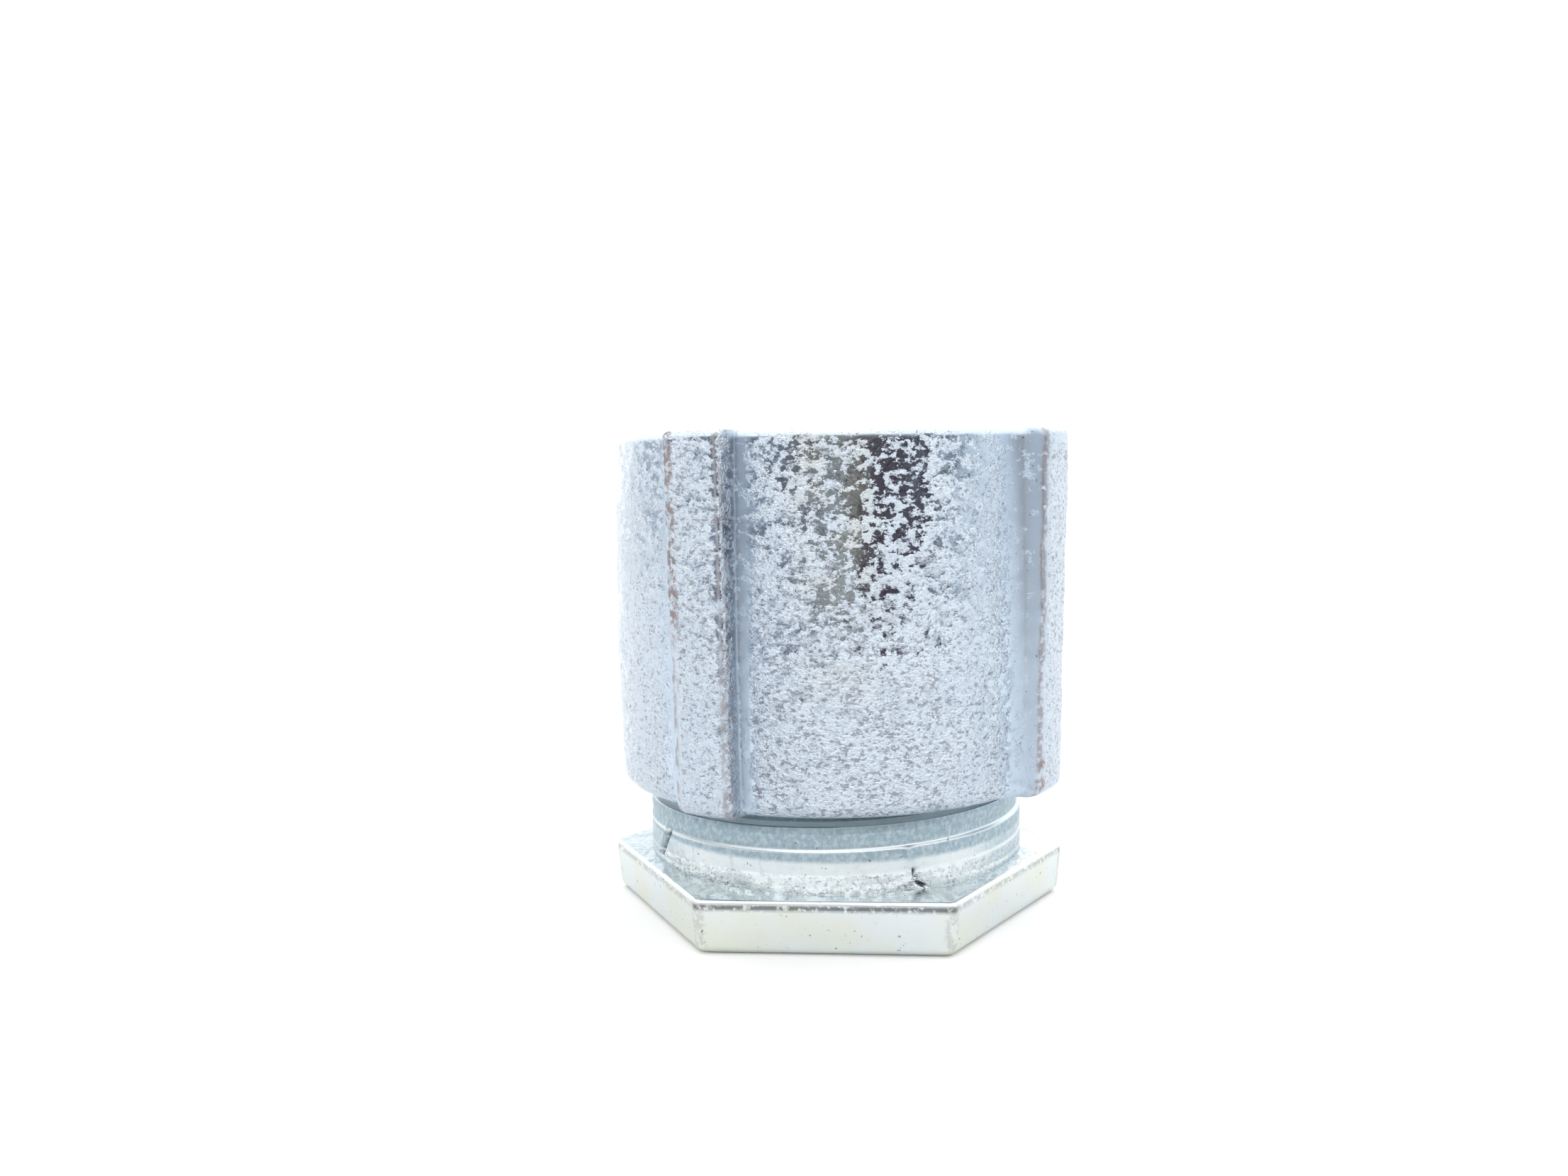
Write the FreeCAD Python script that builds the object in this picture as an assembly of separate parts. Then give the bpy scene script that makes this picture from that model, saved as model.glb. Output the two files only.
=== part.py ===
import FreeCAD, Part
import math
import os

# Three-piece threaded conduit coupling for 3/4 inch rigid conduit, standing on its hexagon.
# Millimetres. +Z is the conduit's axis, and the origin is the centre of the hexagon's lower face.
# The coupling ring is partly unscrewed. Angles are counted from -Y towards +X.

os.makedirs("parts", exist_ok=True)

Z_AXIS = FreeCAD.Vector(0, 0, 1)
ORIGIN = FreeCAD.Vector(0, 0, 0)

# Driving dimensions: the hexagon and the heights of the stack
HEX_FLATS = 38.1
HEX_HEIGHT = 4.84
HEX_DRAFT = 0.5
HEX_CORNER_ROUND = 0.8
HEX_FOOT_ROUND = 0.7
BODY_TOP = 22.0
SHOULDER_Z = 35.9
GLAND_TOP = 42.0
RING_BOTTOM = 12.1
RING_TOP = 44.4

# Conduit thread: a plain hole at the thread's minor radius, with a countersunk mouth and a stop lip
CONDUIT_MINOR_R = 11.83
CONDUIT_MAJOR_R = 13.28
STOP_R = 10.45
STOP_LENGTH = 2.5

# Coupling thread of the body, 11.5 threads to the inch, as parallel grooves that fade out in the flare
PITCH = 25.4 / 11.5
CREST_R = 17.86
ROOT_R = 16.56
ROOT_FLAT = 0.30
FLANK_SLOPE = math.tan(math.radians(30))
LOWEST_GROOVE_Z = 5.93
GROOVE_COUNT = 8
FULL_DEPTH_Z = 10.16
RUNOUT_SLOPE = 0.433
FLARE_TOP = 8.8
FLARE_R = 18.9
FLARE_SAG = 0.12
END_CHAMFER = 0.9

# Gland
GLAND_FLANGE_R = 16.6
GLAND_NECK_R = 15.0
EDGE_CHAMFER = 0.4

# Coupling ring
RING_R = 20.4
RING_BULGE = 0.3
RING_BORE_R = 16.85
RING_THREAD_R = 17.95
RING_THREAD_LENGTH = 15.6
RELIEF_R = 18.3
RELIEF_LENGTH = 3.2
MOUTH_CHAMFER = 0.8
LIP_THICKNESS = 3.5
LIP_R = 15.3
TOP_ROUND = 0.8
BOTTOM_ROUND = 1.2

# Lugs of the coupling ring
LUG_COUNT = 4
FIRST_LUG = -27.1
LUG_WIDTH = 15.0
LUG_TOP_R = 23.4
LUG_BOTTOM_R = 22.5
LUG_BULGE = 0.05
LUG_EDGE_ROUND = 0.7


def on_axis(r, z):
    """A point of a section, on the half plane that a section is turned from."""
    return FreeCAD.Vector(r, 0, z)


def turned(points, sweep=360):
    """The solid made by turning a closed outline of (r, z) points about the axis."""
    outline = [on_axis(r, z) for r, z in points]
    return Part.Face(Part.makePolygon(outline + outline[:1])).revolve(ORIGIN, Z_AXIS, sweep)


def rotated(shape, angle):
    """The shape turned from the +X half plane to an angle counted from -Y towards +X."""
    copy = shape.copy()
    copy.rotate(ORIGIN, Z_AXIS, angle - 90)
    return copy


def thread_groove(z):
    """A ring-shaped V groove. Its root follows the cone of the run-out below the full depth."""
    root_r = ROOT_R + max(0, FULL_DEPTH_Z - z) * RUNOUT_SLOPE
    open_r = root_r + CREST_R - ROOT_R + END_CHAMFER
    half_root = ROOT_FLAT / 2
    half_open = half_root + (open_r - root_r) * FLANK_SLOPE
    return turned([
        (root_r, z - half_root),
        (open_r, z - half_open),
        (open_r, z + half_open),
        (root_r, z + half_root),
    ])


def conduit_hole(mouth, stop_end):
    """The hole for one conduit: countersunk at the mouth, with a narrow stop at its far end."""
    inwards = 1 if stop_end > mouth else -1
    sink = CONDUIT_MAJOR_R - CONDUIT_MINOR_R
    return turned([
        (0, mouth),
        (CONDUIT_MAJOR_R, mouth),
        (CONDUIT_MINOR_R, mouth + inwards * sink),
        (CONDUIT_MINOR_R, stop_end - inwards * STOP_LENGTH),
        (STOP_R, stop_end - inwards * STOP_LENGTH),
        (STOP_R, stop_end),
        (0, stop_end),
    ])


def hexagon(circumradius, z):
    corners = [
        FreeCAD.Vector(
            circumradius * math.cos(math.radians(60 * i)),
            circumradius * math.sin(math.radians(60 * i)),
            z,
        )
        for i in range(6)
    ]
    return Part.makePolygon(corners + corners[:1])


def hex_flange():
    """The cast hexagon, a little smaller at its foot, with rounded corners and a rounded foot."""
    top = HEX_FLATS / 2 / math.cos(math.radians(30))
    block = Part.makeLoft([hexagon(top - HEX_DRAFT, 0), hexagon(top, HEX_HEIGHT)], True, True)
    half_height = HEX_HEIGHT / 2
    corners = [e for e in block.Edges if e.BoundBox.ZLength > half_height]
    block = block.makeFillet(HEX_CORNER_ROUND, corners)
    foot = [e for e in block.Edges if e.BoundBox.ZMax < half_height]
    return block.makeFillet(HEX_FOOT_ROUND, foot)


def neck():
    """The round part above the hexagon: a hollow flare, the thread's crests and a chamfered end."""
    flare = Part.Arc(
        on_axis(FLARE_R, HEX_HEIGHT),
        on_axis((FLARE_R + CREST_R) / 2 - FLARE_SAG, (HEX_HEIGHT + FLARE_TOP) / 2 - FLARE_SAG),
        on_axis(CREST_R, FLARE_TOP),
    )
    rest = Part.makePolygon([
        on_axis(CREST_R, FLARE_TOP),
        on_axis(CREST_R, BODY_TOP - END_CHAMFER),
        on_axis(CREST_R - END_CHAMFER, BODY_TOP),
        on_axis(0, BODY_TOP),
        on_axis(0, HEX_HEIGHT / 2),
        on_axis(FLARE_R, HEX_HEIGHT / 2),
        on_axis(FLARE_R, HEX_HEIGHT),
    ])
    section = Part.Face(Part.Wire([flare.toShape()] + rest.Edges))
    return section.revolve(ORIGIN, Z_AXIS, 360)


def threaded_body():
    """Hexagon, flared neck and male thread in one casting, with the lower conduit's hole."""
    casting = hex_flange().fuse(neck())
    for i in range(GROOVE_COUNT):
        casting = casting.cut(thread_groove(LOWEST_GROOVE_Z + i * PITCH))
    return casting.cut(conduit_hole(0, BODY_TOP)).removeSplitter()


def gland():
    """The hub that takes the upper conduit. Its wide end is held down by the ring's lip."""
    sleeve = turned([
        (0, BODY_TOP),
        (GLAND_FLANGE_R - EDGE_CHAMFER, BODY_TOP),
        (GLAND_FLANGE_R, BODY_TOP + EDGE_CHAMFER),
        (GLAND_FLANGE_R, SHOULDER_Z - EDGE_CHAMFER),
        (GLAND_FLANGE_R - EDGE_CHAMFER, SHOULDER_Z),
        (GLAND_NECK_R, SHOULDER_Z),
        (GLAND_NECK_R, GLAND_TOP - EDGE_CHAMFER),
        (GLAND_NECK_R - EDGE_CHAMFER, GLAND_TOP),
        (0, GLAND_TOP),
    ])
    return sleeve.cut(conduit_hole(GLAND_TOP, BODY_TOP))


def rounded_section(bottom_r, middle_r, top_r, inner_r):
    """The outline of a wall from RING_BOTTOM to RING_TOP: rounded edges and a slightly full side."""
    diagonal = 1 - math.sqrt(0.5)
    low_corner = on_axis(bottom_r - BOTTOM_ROUND, RING_BOTTOM)
    side_low = on_axis(bottom_r, RING_BOTTOM + BOTTOM_ROUND)
    side_high = on_axis(top_r, RING_TOP - TOP_ROUND)
    high_corner = on_axis(top_r - TOP_ROUND, RING_TOP)
    low_round = Part.Arc(
        low_corner,
        on_axis(bottom_r - BOTTOM_ROUND * diagonal, RING_BOTTOM + BOTTOM_ROUND * diagonal),
        side_low,
    )
    side = Part.Arc(side_low, on_axis(middle_r, (RING_BOTTOM + RING_TOP) / 2), side_high)
    high_round = Part.Arc(
        side_high,
        on_axis(top_r - TOP_ROUND * diagonal, RING_TOP - TOP_ROUND * diagonal),
        high_corner,
    )
    inner = Part.makePolygon([
        high_corner,
        on_axis(inner_r, RING_TOP),
        on_axis(inner_r, RING_BOTTOM),
        low_corner,
    ])
    edges = [low_round.toShape(), side.toShape(), high_round.toShape()] + inner.Edges
    return Part.Face(Part.Wire(edges))


def ring_lug(angle):
    """One rib for the wrench, drafted so that it stands further out at the top."""
    middle_r = (LUG_BOTTOM_R + LUG_TOP_R) / 2
    inner_r = (RELIEF_R + RING_R) / 2
    section = rounded_section(LUG_BOTTOM_R, middle_r + LUG_BULGE, LUG_TOP_R, inner_r)
    lug = section.revolve(ORIGIN, Z_AXIS, LUG_WIDTH)
    lug = lug.makeFillet(LUG_EDGE_ROUND, upright_edges(lug, RING_R, LUG_TOP_R))
    return rotated(lug, angle - LUG_WIDTH / 2)


def ring_cavity():
    """What is cut out of the ring: thread relief, threaded stretch, bore and the lip's hole."""
    relief_top = RING_BOTTOM + RELIEF_LENGTH
    thread_top = RING_BOTTOM + RING_THREAD_LENGTH
    lip_z = RING_TOP - LIP_THICKNESS
    return turned([
        (0, RING_BOTTOM - 1),
        (RELIEF_R + MOUTH_CHAMFER, RING_BOTTOM - 1),
        (RELIEF_R + MOUTH_CHAMFER, RING_BOTTOM),
        (RELIEF_R, RING_BOTTOM + MOUTH_CHAMFER),
        (RELIEF_R, relief_top - (RELIEF_R - RING_THREAD_R)),
        (RING_THREAD_R, relief_top),
        (RING_THREAD_R, thread_top - (RING_THREAD_R - RING_BORE_R)),
        (RING_BORE_R, thread_top),
        (RING_BORE_R, lip_z),
        (LIP_R, lip_z),
        (LIP_R, RING_TOP - EDGE_CHAMFER),
        (LIP_R + EDGE_CHAMFER, RING_TOP),
        (LIP_R + EDGE_CHAMFER, RING_TOP + 1),
        (0, RING_TOP + 1),
    ])


def upright_edges(shape, low_r, high_r):
    """The edges that run the full height of a shape between two distances from the axis."""
    half_height = (RING_TOP - RING_BOTTOM) / 2
    return [
        edge
        for edge in shape.Edges
        if edge.BoundBox.ZLength > half_height
        and low_r < math.hypot(edge.CenterOfMass.x, edge.CenterOfMass.y) < high_r
    ]


def coupling_ring():
    """The nut that draws the gland onto the body."""
    middle_r = RING_R + RING_BULGE
    wall = rounded_section(RING_R, middle_r, RING_R, RING_BORE_R).revolve(ORIGIN, Z_AXIS, 360)
    spacing = 360 / LUG_COUNT
    for i in range(LUG_COUNT):
        wall = wall.fuse(ring_lug(FIRST_LUG + i * spacing))
    return wall.cut(ring_cavity()).removeSplitter()


PIECES = {
    "threaded_body": threaded_body,
    "coupling_ring": coupling_ring,
    "gland": gland,
}

for name, make in PIECES.items():
    solid = make()
    box = solid.BoundBox
    print(name, solid.isValid(), len(solid.Solids), round(solid.Volume, 1), box)
    solid.Solids[0].exportStep("parts/" + name + ".step")
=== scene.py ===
import math
from collections import namedtuple

import bpy
import numpy as np
from mathutils import Matrix, Vector


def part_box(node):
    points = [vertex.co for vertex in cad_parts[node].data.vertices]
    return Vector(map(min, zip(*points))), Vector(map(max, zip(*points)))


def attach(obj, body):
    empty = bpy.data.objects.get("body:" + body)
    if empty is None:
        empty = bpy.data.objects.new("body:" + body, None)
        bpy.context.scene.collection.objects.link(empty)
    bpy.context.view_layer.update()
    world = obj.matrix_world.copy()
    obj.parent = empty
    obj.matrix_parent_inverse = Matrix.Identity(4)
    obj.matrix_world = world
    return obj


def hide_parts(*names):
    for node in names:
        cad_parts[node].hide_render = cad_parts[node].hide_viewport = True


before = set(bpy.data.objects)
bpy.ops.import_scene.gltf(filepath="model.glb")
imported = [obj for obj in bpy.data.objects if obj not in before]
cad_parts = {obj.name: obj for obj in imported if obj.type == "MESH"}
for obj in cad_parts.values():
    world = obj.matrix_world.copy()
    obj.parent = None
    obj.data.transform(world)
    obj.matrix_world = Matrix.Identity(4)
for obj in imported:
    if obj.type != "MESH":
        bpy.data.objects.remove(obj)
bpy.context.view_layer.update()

MM = 0.001

# ---------------------------------------------------------------------------------------------
# Sizes, in metres. Angles called "round" are in degrees from -Y towards +X.
# ---------------------------------------------------------------------------------------------

BODY_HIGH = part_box("threaded_body")[1]
RING_LOW, RING_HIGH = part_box("coupling_ring")
GLAND_LOW, GLAND_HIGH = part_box("gland")

SKIN = 0.05 * MM  # how far inside its full size a cast side lies, which leaves room for its relief

HEX_APOTHEM = BODY_HIGH.y
HEX_CORNER_ROUND = 0.85 * MM
HEX_HEIGHT = 4.84 * MM
HEX_DRAFT = 0.45 * MM
HEX_FOOT_ROUND = 0.9 * MM
HEX_EDGE_ROUND = 0.38 * MM
HEX_RIM_HEIGHT = 0.80 * MM
HEX_RIM_SLOPE = 0.14
HEX_CROWN = 0.22 * MM
NECK_FOOT_Z = HEX_HEIGHT + HEX_CROWN
NECK_TOP_Z = 12.4 * MM
BODY_TOP = BODY_HIGH.z

PITCH = 25.4 * MM / 11.5
CREST_R = 17.86 * MM
ROOT_R = 16.56 * MM
ROOT_FLAT = 0.34 * MM
CREST_FLAT = 0.40 * MM
END_CHAMFER = 0.9 * MM

# The neck: its ledges climb with the thread, and LEDGE_Z is the height of one of them at the front
LEDGE_Z = 8.92 * MM
THREAD_PHASE_Z = LEDGE_Z + PITCH / 2
RUNOUT_LOW_Z = 8.52 * MM
RUNOUT_HIGH_Z = 12.1 * MM
CREST_LEAN = 0.13 * MM
FLARE_TOP_Z = 8.6 * MM
FLARE_R = 18.85 * MM
STEP_Z = 5.68 * MM
STEP_DEPTH = 0.17 * MM

CONDUIT_PITCH = 25.4 * MM / 14
CONDUIT_MINOR_R = 11.83 * MM
CONDUIT_MAJOR_R = 13.28 * MM
CONDUIT_FLAT = 0.12 * MM
CONDUIT_SINK = 0.25 * MM
STOP_R = 10.45 * MM
STOP_LENGTH = 2.5 * MM
STOP_CHAMFER = 0.3 * MM

GLAND_FLANGE_R = GLAND_HIGH.x
GLAND_NECK_R = 15.0 * MM
GLAND_CHAMFER = 0.4 * MM
SHOULDER_Z = 35.9 * MM
SHOULDER_FILLET = 0.3 * MM

RING_R = 20.4 * MM
RING_BULGE = 0.3 * MM
RING_BORE_R = 16.85 * MM
RELIEF_R = 18.3 * MM
RELIEF_LENGTH = 4.2 * MM
MOUTH_CHAMFER = 0.8 * MM
RING_THREAD_LENGTH = 15.6 * MM
LIP_THICKNESS = 3.5 * MM
LIP_R = 15.3 * MM
LIP_CHAMFER = 0.4 * MM
TOP_ROUND = 0.75 * MM
BOTTOM_ROUND = 1.15 * MM
RADIAL_PLAY = 0.12 * MM
AXIAL_PLAY = 0.10 * MM

# The lugs: the angles of their middles and their width, in degrees, and how far out they reach
LUG_ROUNDS = [-27.1 + 90 * i for i in range(4)]
LUG_WIDTH = 15.0
LUG_TOP_R = 23.25 * MM
LUG_BOTTOM_R = 22.4 * MM

# Radii that tell the outside of a piece from its inside
BODY_OUTSIDE_R = 15 * MM
GLAND_OUTSIDE_R = 14.9 * MM

# Where the noise of the sand passes from the smooth ground to a cluster of grains
CLUSTER_EDGE = (-0.15, 0.30)

# Seeds of the noise: clusters of grains, then slow swells, then worn edges
BODY_LUMPS = 50
RING_LUMPS = 7
GLAND_LUMPS = 90
BODY_SWELLS = 40
RING_SWELLS = 11
RING_WEAR = 21

# How sandy each surface is, from 0 to 1
FLARE_GRAIN = 0.42
HEX_SIDE_GRAIN = 0.12
HEX_TOP_GRAIN = 0.34
BESIDE_LUG_GRAIN = 0.24
PANEL_GRAIN = 0.52
LUG_EDGE_GRAIN = 0.15
LUG_FACE_GRAIN = 0.60
FLANK_GRAIN = 0.50
GLAND_GRAIN = 0.3

# Middles of the front panel's own patches, as rounds: its sand, tint, quiet ground and smooth top
SAND_ROUND = 8
TINT_ROUND = 4
QUIET_ROUND = 3.5
SMOOTH_ROUND = 17


# ---------------------------------------------------------------------------------------------
# Small numeric helpers
# ---------------------------------------------------------------------------------------------

def smoothstep(low, high, x):
    """0 at `low` and beyond, 1 at `high` and beyond. `low` may be the greater one."""
    t = np.clip((x - low) / (high - low), 0, 1)
    return t * t * (3 - 2 * t)


def band(x, centre, half, edge):
    """1 within `half` of the centre, falling to 0 over `edge` outside that."""
    return smoothstep(half + edge, half, np.abs(x - centre))


def wrapped(rounds, full=360):
    """Angles brought to the range from -full / 2 to full / 2."""
    return (rounds + full / 2) % full - full / 2


def lattice_noise(points, size, seed):
    """Smooth noise from -1 to 1 with features about `size` across, for an (n, 3) array of points."""
    side = 32
    lattice = np.random.default_rng(seed).uniform(-1, 1, (side, side, side))
    q = points / size
    cell = np.floor(q).astype(int)
    f = q - cell
    f = f * f * (3 - 2 * f)
    total = np.zeros(len(points))
    for dx in (0, 1):
        for dy in (0, 1):
            for dz in (0, 1):
                weight = (
                    (f[:, 0] if dx else 1 - f[:, 0])
                    * (f[:, 1] if dy else 1 - f[:, 1])
                    * (f[:, 2] if dz else 1 - f[:, 2])
                )
                corner = (cell + (dx, dy, dz)) % side
                total += weight * lattice[corner[:, 0], corner[:, 1], corner[:, 2]]
    return total


def arc(centre_r, centre_z, radius, start, end, count):
    """(r, z) points of an arc in a section, angles in degrees from the outward direction."""
    turn = np.radians(np.linspace(start, end, count))
    return np.stack([centre_r + radius * np.cos(turn), centre_z + radius * np.sin(turn)], 1)


def run(start, end, count):
    """(r, z) points of a straight run in a section."""
    return np.linspace(start, end, count)


def rounds_with_detail(step, places, reach, fine_step):
    """Angles once round the axis, closer together near some places."""
    coarse = np.arange(0, 360, step)
    keep = np.ones(len(coarse), bool)
    fine = []
    for place in places:
        keep &= np.abs(wrapped(coarse - place)) > reach
        fine.append(np.arange(place - reach, place + reach + fine_step / 2, fine_step) % 360)
    return np.sort(np.concatenate([coarse[keep]] + fine))


class Stretch:
    """One stretch of a turned section: (columns, points) arrays of r and z.

    A helical stretch climbs one pitch per turn, so its last column meets the first one
    `shift` points further on.
    """

    def __init__(self, r, z, shift=0):
        self.r = r
        self.z = z
        self.shift = shift


def plain(points, columns):
    """A stretch that is the same all round."""
    points = np.asarray(points)
    return Stretch(np.tile(points[:, 0], (columns, 1)), np.tile(points[:, 1], (columns, 1)))


def helical(rounds, pitch, per_pitch, low, high, radius_at, phase_z, downwards=False):
    """A stretch whose points climb with a thread, clamped between two heights."""
    rise = rounds / 360 * pitch
    start = phase_z - math.ceil((phase_z - low) / pitch + 1) * pitch
    count = int(math.ceil((high - start) / pitch * per_pitch)) + 1
    z = start + rise[:, None] + np.arange(count)[None, :] * pitch / per_pitch
    z = np.clip(z, low, high)
    r = radius_at(z, np.broadcast_to(rounds[:, None], z.shape))
    if downwards:
        return Stretch(r[:, ::-1], z[:, ::-1], -per_pitch)
    return Stretch(r, z, per_pitch)


def turned_mesh(name, rounds, stretches, shape=None):
    """A closed mesh from the stretches of a section, taken in order round the section.

    `shape` may move the points before the mesh is made. It takes and returns an (n, 3) array.
    """
    columns = len(rounds)
    r = np.concatenate([s.r for s in stretches], 1)
    z = np.concatenate([s.z for s in stretches], 1)
    wrap = []
    first = 0
    for s in stretches:
        count = s.r.shape[1]
        index = np.clip(np.arange(count) + s.shift, 0, count - 1)
        wrap.append(first + index)
        first += count
    wrap = np.concatenate(wrap)
    width = r.shape[1]
    angle = np.radians(rounds)[:, None]
    points = np.stack([r * np.sin(angle), -r * np.cos(angle), z], 2).reshape(-1, 3)
    if shape is not None:
        points = shape(points)
    here = np.arange(width)
    up = (here + 1) % width
    column = np.arange(columns)[:, None] * width
    after = np.roll(column, -1, 0)
    right, right_up = after + here, after + up
    right[-1], right_up[-1] = wrap[here], wrap[up]
    quads = np.stack([column + here, right, right_up, column + up], 2).reshape(-1, 4)
    return mesh_from(name, points, quads)


def mesh_from(name, points, quads):
    """An object from points and quads, with points in the same place merged."""
    keys = np.round(points / (1e-4 * MM)).astype(np.int64)
    _, first, inverse = np.unique(keys, axis=0, return_index=True, return_inverse=True)
    points = points[first]
    quads = inverse.reshape(-1)[quads]
    faces = []
    for quad in quads.tolist():
        corners = [v for k, v in enumerate(quad) if v != quad[k - 1]]
        if len(set(corners)) >= 3 and len(set(corners)) == len(corners):
            faces.append(corners)
    mesh = bpy.data.meshes.new(name)
    mesh.from_pydata(points.tolist(), [], faces)
    mesh.validate()
    mesh.update()
    for polygon in mesh.polygons:
        polygon.use_smooth = True
    mesh.set_sharp_from_angle(angle=math.radians(50))
    piece = bpy.data.objects.new(name, mesh)
    bpy.context.scene.collection.objects.link(piece)
    return piece


def polar(points):
    """Distance from the axis, angle round it in degrees, and height."""
    r = np.hypot(points[:, 0], points[:, 1])
    around = np.degrees(np.arctan2(points[:, 0], -points[:, 1]))
    return r, around, points[:, 2]


def along_radius(points, amount):
    """The points moved outwards from the axis."""
    r = np.maximum(np.hypot(points[:, 0], points[:, 1]), 1e-9)
    moved = points.copy()
    moved[:, 0] += points[:, 0] / r * amount
    moved[:, 1] += points[:, 1] / r * amount
    return moved


def mark(piece, name, values):
    """Stores one number per vertex for a material to read."""
    attribute = piece.data.attributes.new(name, "FLOAT", "POINT")
    attribute.data.foreach_set("value", values.astype(np.float32))


def vertices_of(piece):
    """The piece's vertices as an (n, 3) array."""
    flat = np.zeros(len(piece.data.vertices) * 3, np.float32)
    piece.data.vertices.foreach_get("co", flat)
    return flat.reshape(-1, 3).astype(float)


# ---------------------------------------------------------------------------------------------
# Threads
# ---------------------------------------------------------------------------------------------

def tooth(z, rounds, pitch, phase_z, root_flat, crest_flat):
    """0 in the root of a right-handed thread and 1 on its crest."""
    from_root = 0.5 - np.abs((z - phase_z - rounds / 360 * pitch) / pitch % 1.0 - 0.5)
    root = root_flat / pitch / 2
    crest = 0.5 - crest_flat / pitch / 2
    return np.clip((from_root - root) / (crest - root), 0, 1)


def conduit_thread_radius(z, rounds):
    """The female thread for the conduit."""
    crest = tooth(z, rounds, CONDUIT_PITCH, 0, CONDUIT_FLAT, CONDUIT_FLAT)
    return CONDUIT_MAJOR_R - (CONDUIT_MAJOR_R - CONDUIT_MINOR_R) * crest


def conduit_stretch(rounds, mouth_z, stop_z):
    """The threaded wall of a conduit hole from its mouth to its stop, with a countersunk mouth."""
    low, high = min(mouth_z, stop_z), max(mouth_z, stop_z)

    def radius_at(z, around):
        sink = CONDUIT_MAJOR_R + CONDUIT_SINK - np.abs(z - mouth_z)
        return np.maximum(conduit_thread_radius(z, around), sink)

    return helical(rounds, CONDUIT_PITCH, 8, low, high, radius_at, 0, downwards=mouth_z > stop_z)


def climb(rounds):
    """How much higher a ledge is at some angle than at the front. It jumps one pitch at the back."""
    return wrapped(rounds) / 360 * PITCH


def step_inset(above, reach):
    """A step in a turned side: cut back just above its edge, and less and less further up."""
    return STEP_DEPTH * smoothstep(-0.10 * MM, 0.02 * MM, above) * np.clip(1 - above / reach, 0, 1)


def share_above_ledge(z, rounds):
    """0 on a ledge of the neck, growing to 1 at the next ledge up."""
    return ((z - LEDGE_Z) / PITCH - rounds / 360) % 1.0


def runout_groove(z, rounds):
    """The die's last, shallow grooves, from 0 to 1: sharp ledges with wide rounded crests between."""
    share = share_above_ledge(z, rounds)
    under_crest = np.clip(1 - share / 0.62, 0, 1) ** 1.4
    ledge = smoothstep(0.87, 0.99, share)
    return np.maximum(under_crest, ledge)


def crest_round(z, rounds):
    """How far the upper half of a wide crest leans back."""
    share = share_above_ledge(z, rounds)
    lean = CREST_LEAN * np.clip((share - 0.45) / 0.45, 0, 1) ** 2
    return lean * smoothstep(9.3 * MM, 9.9 * MM, z)


def flare_radius(z, rounds):
    """The neck before its grooves: the flare with its two steps, and the chamfered end of the thread."""
    down = np.clip((FLARE_TOP_Z - z) / (FLARE_TOP_Z - HEX_HEIGHT), 0, 1)
    r = CREST_R + (FLARE_R - CREST_R) * down ** 1.7
    r = r - step_inset(z - STEP_Z, 0.45 * MM)
    r = r - step_inset(z - (LEDGE_Z - PITCH + climb(rounds)), 0.6 * MM)
    return np.minimum(r, CREST_R - np.maximum(z - (BODY_TOP - END_CHAMFER), 0))


def body_thread_radius(z, rounds):
    """Male thread whose grooves fade out into the flare above the hexagon."""
    blank = flare_radius(z, rounds) - crest_round(z, rounds)
    depth = (CREST_R - ROOT_R) * np.clip((z - RUNOUT_LOW_Z) / (RUNOUT_HIGH_Z - RUNOUT_LOW_Z), 0, 1)
    full = 1 - tooth(z, rounds, PITCH, THREAD_PHASE_Z, ROOT_FLAT, CREST_FLAT)
    formed = smoothstep(RUNOUT_HIGH_Z - 0.4 * MM, RUNOUT_HIGH_Z + 0.1 * MM, z)
    groove = runout_groove(z, rounds) * (1 - formed) + full * formed
    return np.minimum(blank, CREST_R - depth * groove + np.maximum(blank - CREST_R, 0))


def ledge_highlight_mask(z, rounds):
    """The painted highlight along the edge of each ledge and step on the neck and flare."""
    away = (z - LEDGE_Z - climb(rounds)) / PITCH
    away = (away - np.round(away)) * PITCH
    away = np.where(np.abs(z - STEP_Z) < 0.3 * MM, z - STEP_Z, away)
    return band(away, -0.10 * MM, 0.10 * MM, 0.14 * MM)


def ring_thread_radius(z, rounds):
    """Female thread, the body's thread grown by the play between them."""
    low = RING_LOW.z + RELIEF_LENGTH
    high = RING_LOW.z + RING_THREAD_LENGTH
    crest = tooth(z, rounds, PITCH, THREAD_PHASE_Z, ROOT_FLAT - AXIAL_PLAY, CREST_FLAT + AXIAL_PLAY)
    groove = ROOT_R + RADIAL_PLAY + crest * (CREST_R - ROOT_R)
    groove = np.maximum(groove, RING_BORE_R)
    fade_in = RELIEF_R - np.maximum(z - low, 0) * 0.5
    fade_out = RING_BORE_R + np.maximum(high - z, 0) * 0.9
    return np.maximum(np.minimum(groove, fade_out), fade_in)


# ---------------------------------------------------------------------------------------------
# Threaded body: hexagon, flare, male thread
# ---------------------------------------------------------------------------------------------

def off_hex_corner(rounds):
    """Degrees from the nearest corner of the hexagon, which has corners on +X and every 60 degrees."""
    return wrapped(rounds - 90, 60)


def hex_radius(rounds, apothem):
    """Distance from the axis to a side of the hexagon, with rounded corners."""
    off_corner = np.radians(off_hex_corner(rounds))
    side = apothem / np.cos(np.radians(30) - np.abs(off_corner))
    centre = (apothem - HEX_CORNER_ROUND) / math.cos(math.radians(30))
    end = np.arctan2(HEX_CORNER_ROUND * 0.5, centre + HEX_CORNER_ROUND * math.cos(math.radians(30)))
    inside = np.maximum(HEX_CORNER_ROUND ** 2 - (centre * np.sin(off_corner)) ** 2, 0)
    corner = centre * np.cos(off_corner) + np.sqrt(inside)
    return np.where(np.abs(off_corner) < end, corner, side)


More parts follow.
